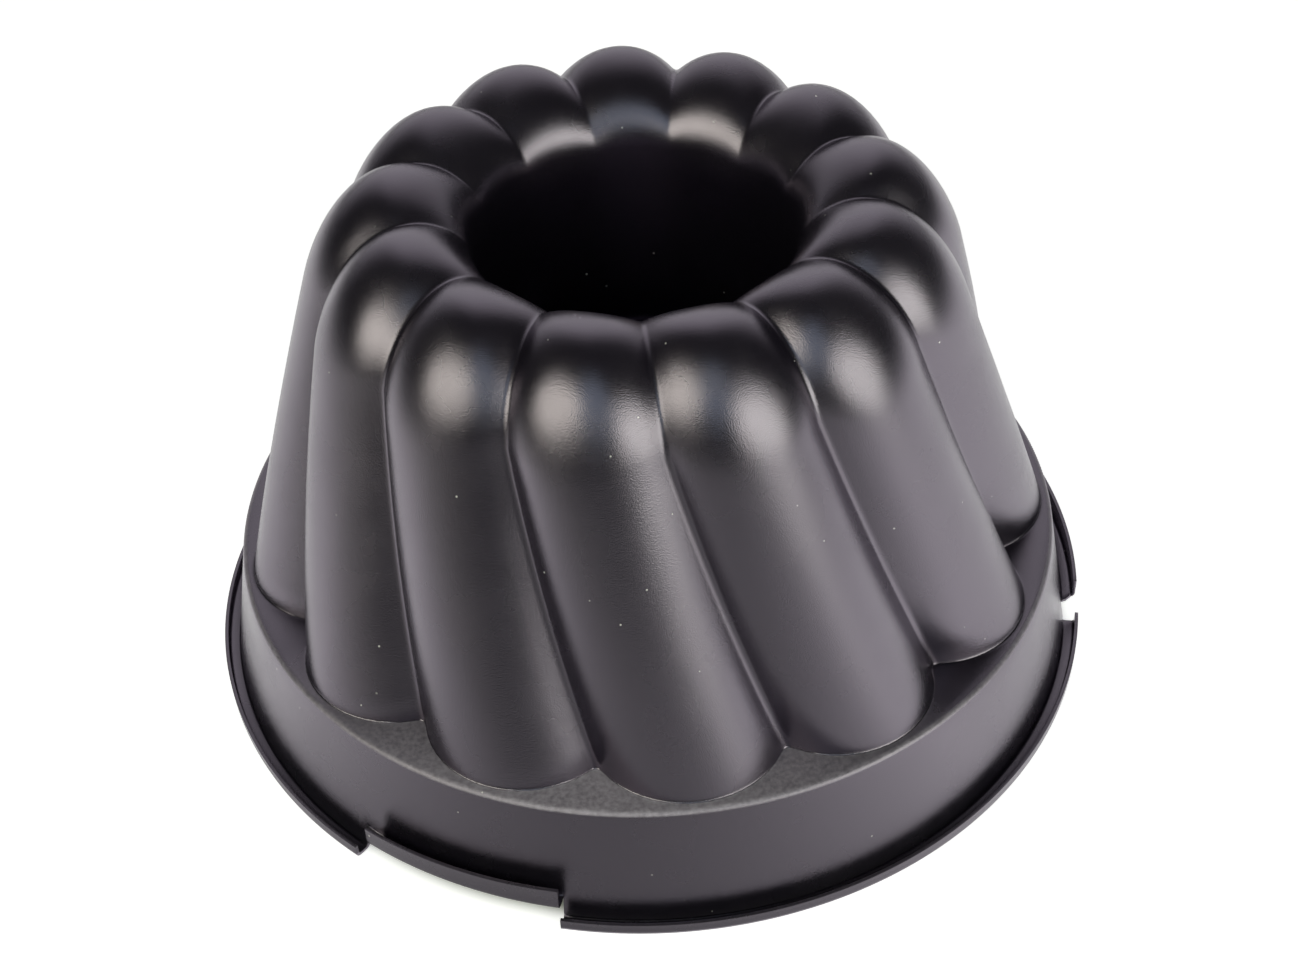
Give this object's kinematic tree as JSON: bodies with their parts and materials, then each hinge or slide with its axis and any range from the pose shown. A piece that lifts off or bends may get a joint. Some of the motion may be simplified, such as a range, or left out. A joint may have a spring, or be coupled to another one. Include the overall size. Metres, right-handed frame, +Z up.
{
  "type": "kugelhopf mould",
  "caption": "Ring-cake mould of coated sheet steel with swirled flutes, a ledge and band, a rolled rim with raised gates, and a conical chimney tube seamed into its crown.",
  "frame": {"origin": "on the mould's axis, in the plane that the rim stands on", "axes": "+Z up along the mould's axis, mouth down and crown up as the mould stands; -Y is the side seen in the picture, +X to its right"},
  "size_m": [0.1592, 0.16, 0.0924],
  "materials": {
    "coated_shell": "near-black non-stick coating, satin with a fine grain, worn lighter on edges",
    "coated_tube": "near-black non-stick coating, satin with a fine grain"
  },
  "bodies": {
    "root": {"fluted_shell": "coated_shell", "chimney_tube": "coated_tube"}
  },
  "joints": []
}
